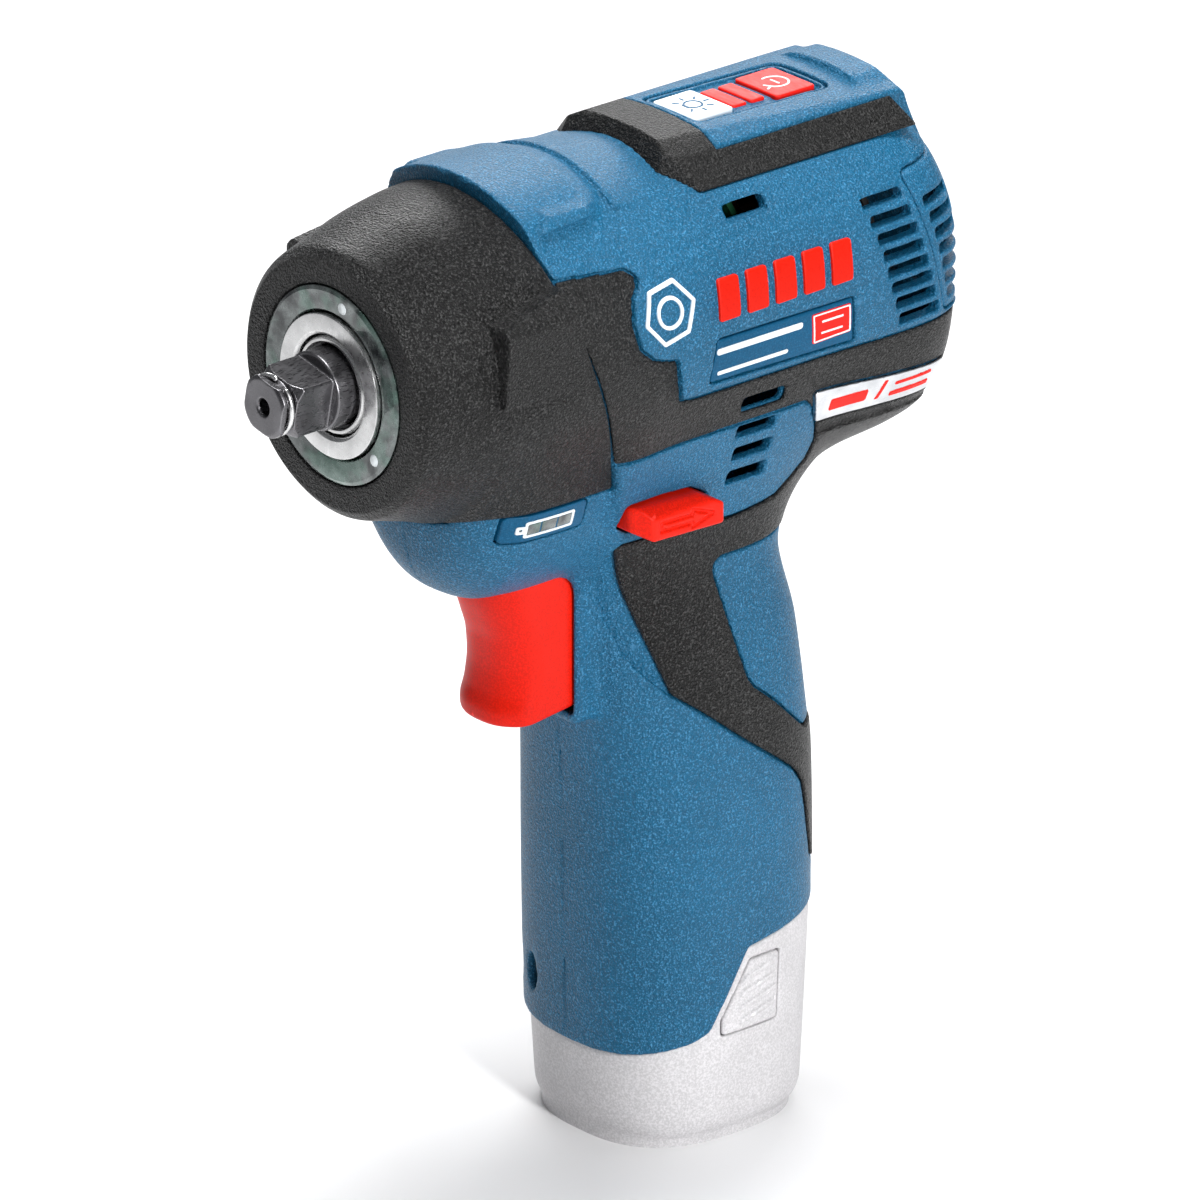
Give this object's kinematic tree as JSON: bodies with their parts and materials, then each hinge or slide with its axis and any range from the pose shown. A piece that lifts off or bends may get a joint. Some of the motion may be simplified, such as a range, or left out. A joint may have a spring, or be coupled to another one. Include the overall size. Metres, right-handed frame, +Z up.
{
  "type": "cordless impact wrench",
  "caption": "Compact pistol-grip cordless impact wrench with a square drive anvil, soft nose boot, trigger, direction selector and a slide-in battery pack.",
  "frame": {"origin": "centre of the battery pack's flat base", "axes": "+Z up from the base to the head, -Y forward along the spindle to the anvil, +X towards the tool's left side"},
  "size_m": [0.0584, 0.1354, 0.1834],
  "materials": {
    "blue_plastic": "fine grained moulded plastic",
    "soft_black": "fine grained soft overmould",
    "red_plastic": "satin moulded plastic",
    "grey_plastic": "satin pale grey plastic",
    "dark_plastic": "satin dark plastic",
    "white_plastic": "smooth white plastic",
    "tool_steel": "dark phosphated steel",
    "bright_steel": "ground bright steel",
    "cast_metal": "cast and machined aluminium",
    "copper": "enamelled copper wire",
    "laminate": "stacked electrical steel",
    "circuit_board": "green solder mask",
    "lens": "clear moulded lens",
    "silver_badge": "satin silver foil badge",
    "cell_sleeve": "shrink sleeve of the cells"
  },
  "bodies": {
    "housing": {"nose_boot": "soft_black", "hammer_case": "cast_metal", "lamp_lens": "lens", "lamp_board": "circuit_board", "anvil_bush": "bright_steel", "ring_gear": "tool_steel", "motor_plate": "cast_metal", "front_bearing": "bright_steel", "rear_bearing": "bright_steel", "hall_board": "circuit_board", "stator_core": "laminate", "stator_windings": "copper", "roof_frame": "soft_black", "roof_panel": "blue_plastic", "speed_lamp_1": "red_plastic", "speed_lamp_2": "red_plastic", "housing_left": "blue_plastic", "housing_right": "blue_plastic", "soft_grip_left": "soft_black", "soft_grip_right": "soft_black", "rear_cover": "blue_plastic", "name_plate_left": "blue_plastic", "name_plate_right": "blue_plastic", "emblem_left": "white_plastic", "emblem_right": "white_plastic", "motor_badge_left": "silver_badge", "motor_badge_right": "silver_badge", "charge_window": "lens", "trigger_spring": "bright_steel", "switch_body": "dark_plastic", "control_board": "circuit_board", "terminal_block": "dark_plastic"},
    "spindle": {"spindle": "tool_steel", "cam_ball_1": "bright_steel", "cam_ball_2": "bright_steel", "hammer_spring": "tool_steel"},
    "hammer": {"hammer": "tool_steel"},
    "anvil": {"anvil": "tool_steel", "socket_ring": "bright_steel"},
    "rotor": {"rotor_shaft": "bright_steel", "rotor_core": "laminate", "fan": "dark_plastic"},
    "planet_1": {"planet_gear_1": "tool_steel"},
    "planet_2": {"planet_gear_2": "tool_steel"},
    "planet_3": {"planet_gear_3": "tool_steel"},
    "trigger": {"trigger": "red_plastic"},
    "direction_selector": {"direction_selector": "red_plastic"},
    "light_button": {"light_button": "white_plastic"},
    "mode_button": {"mode_button": "red_plastic"},
    "battery_pack": {"pack_shell": "grey_plastic", "pack_cap": "dark_plastic", "cell_1": "cell_sleeve", "cell_2": "cell_sleeve", "cell_3": "cell_sleeve"},
    "release_left": {"release_button_left": "grey_plastic"},
    "release_right": {"release_button_right": "grey_plastic"}
  },
  "joints": [
    {"name": "spindle_spin", "type": "hinge", "parent": "housing", "child": "spindle", "pos_m": [0, 0, 0.152], "axis": [0, 1, 0], "continuous": true},
    {"name": "anvil_spin", "type": "hinge", "parent": "housing", "child": "anvil", "pos_m": [0, 0, 0.152], "axis": [0, 1, 0], "continuous": true},
    {"name": "hammer_retract", "type": "slide", "parent": "spindle", "child": "hammer", "axis": [0, 1, 0], "range_m": [0, 0.0062], "stiffness_N_per_m": 9000, "springref_m": -0.003, "deforming": ["hammer_spring"]},
    {"name": "rotor_spin", "type": "hinge", "parent": "housing", "child": "rotor", "pos_m": [0, 0, 0.152], "axis": [0, 1, 0], "continuous": true},
    {"name": "planet_1_spin", "type": "hinge", "parent": "spindle", "child": "planet_1", "pos_m": [0.012, 0, 0.152], "axis": [0, 1, 0], "continuous": true},
    {"name": "planet_2_spin", "type": "hinge", "parent": "spindle", "child": "planet_2", "pos_m": [-0.006, 0, 0.16239], "axis": [0, 1, 0], "continuous": true},
    {"name": "planet_3_spin", "type": "hinge", "parent": "spindle", "child": "planet_3", "pos_m": [-0.006, 0, 0.14161], "axis": [0, 1, 0], "continuous": true},
    {"name": "trigger_pull", "type": "slide", "parent": "housing", "child": "trigger", "axis": [0, 1, 0], "range_m": [0, 0.0065], "stiffness_N_per_m": 700, "springref_m": -0.003, "deforming": ["trigger_spring"]},
    {"name": "direction_shift", "type": "slide", "parent": "housing", "child": "direction_selector", "axis": [1, 0, 0], "range_m": [-0.0035, 0.0035]},
    {"name": "light_press", "type": "slide", "parent": "housing", "child": "light_button", "axis": [0, 0, -1], "range_m": [0, 0.0005], "stiffness_N_per_m": 2500, "springref_m": -0.0003},
    {"name": "mode_press", "type": "slide", "parent": "housing", "child": "mode_button", "axis": [0, 0, -1], "range_m": [0, 0.0005], "stiffness_N_per_m": 2500, "springref_m": -0.0003},
    {"name": "battery_slide", "type": "slide", "parent": "housing", "child": "battery_pack", "axis": [0, 0, -1], "range_m": [0, 0.075]},
    {"name": "release_left_press", "type": "slide", "parent": "battery_pack", "child": "release_left", "axis": [-1, 0, 0], "range_m": [0, 0.0012], "stiffness_N_per_m": 1800, "springref_m": -0.0006},
    {"name": "release_right_press", "type": "slide", "parent": "battery_pack", "child": "release_right", "axis": [1, 0, 0], "range_m": [0, 0.0012], "stiffness_N_per_m": 1800, "springref_m": -0.0006}
  ],
  "couplings": [
    {"joint": "anvil_spin", "follows": "spindle_spin", "ratio": 1},
    {"joint": "rotor_spin", "follows": "spindle_spin", "ratio": 5.3333},
    {"joint": "planet_1_spin", "follows": "spindle_spin", "ratio": -2.6},
    {"joint": "planet_2_spin", "follows": "spindle_spin", "ratio": -2.6},
    {"joint": "planet_3_spin", "follows": "spindle_spin", "ratio": -2.6}
  ]
}
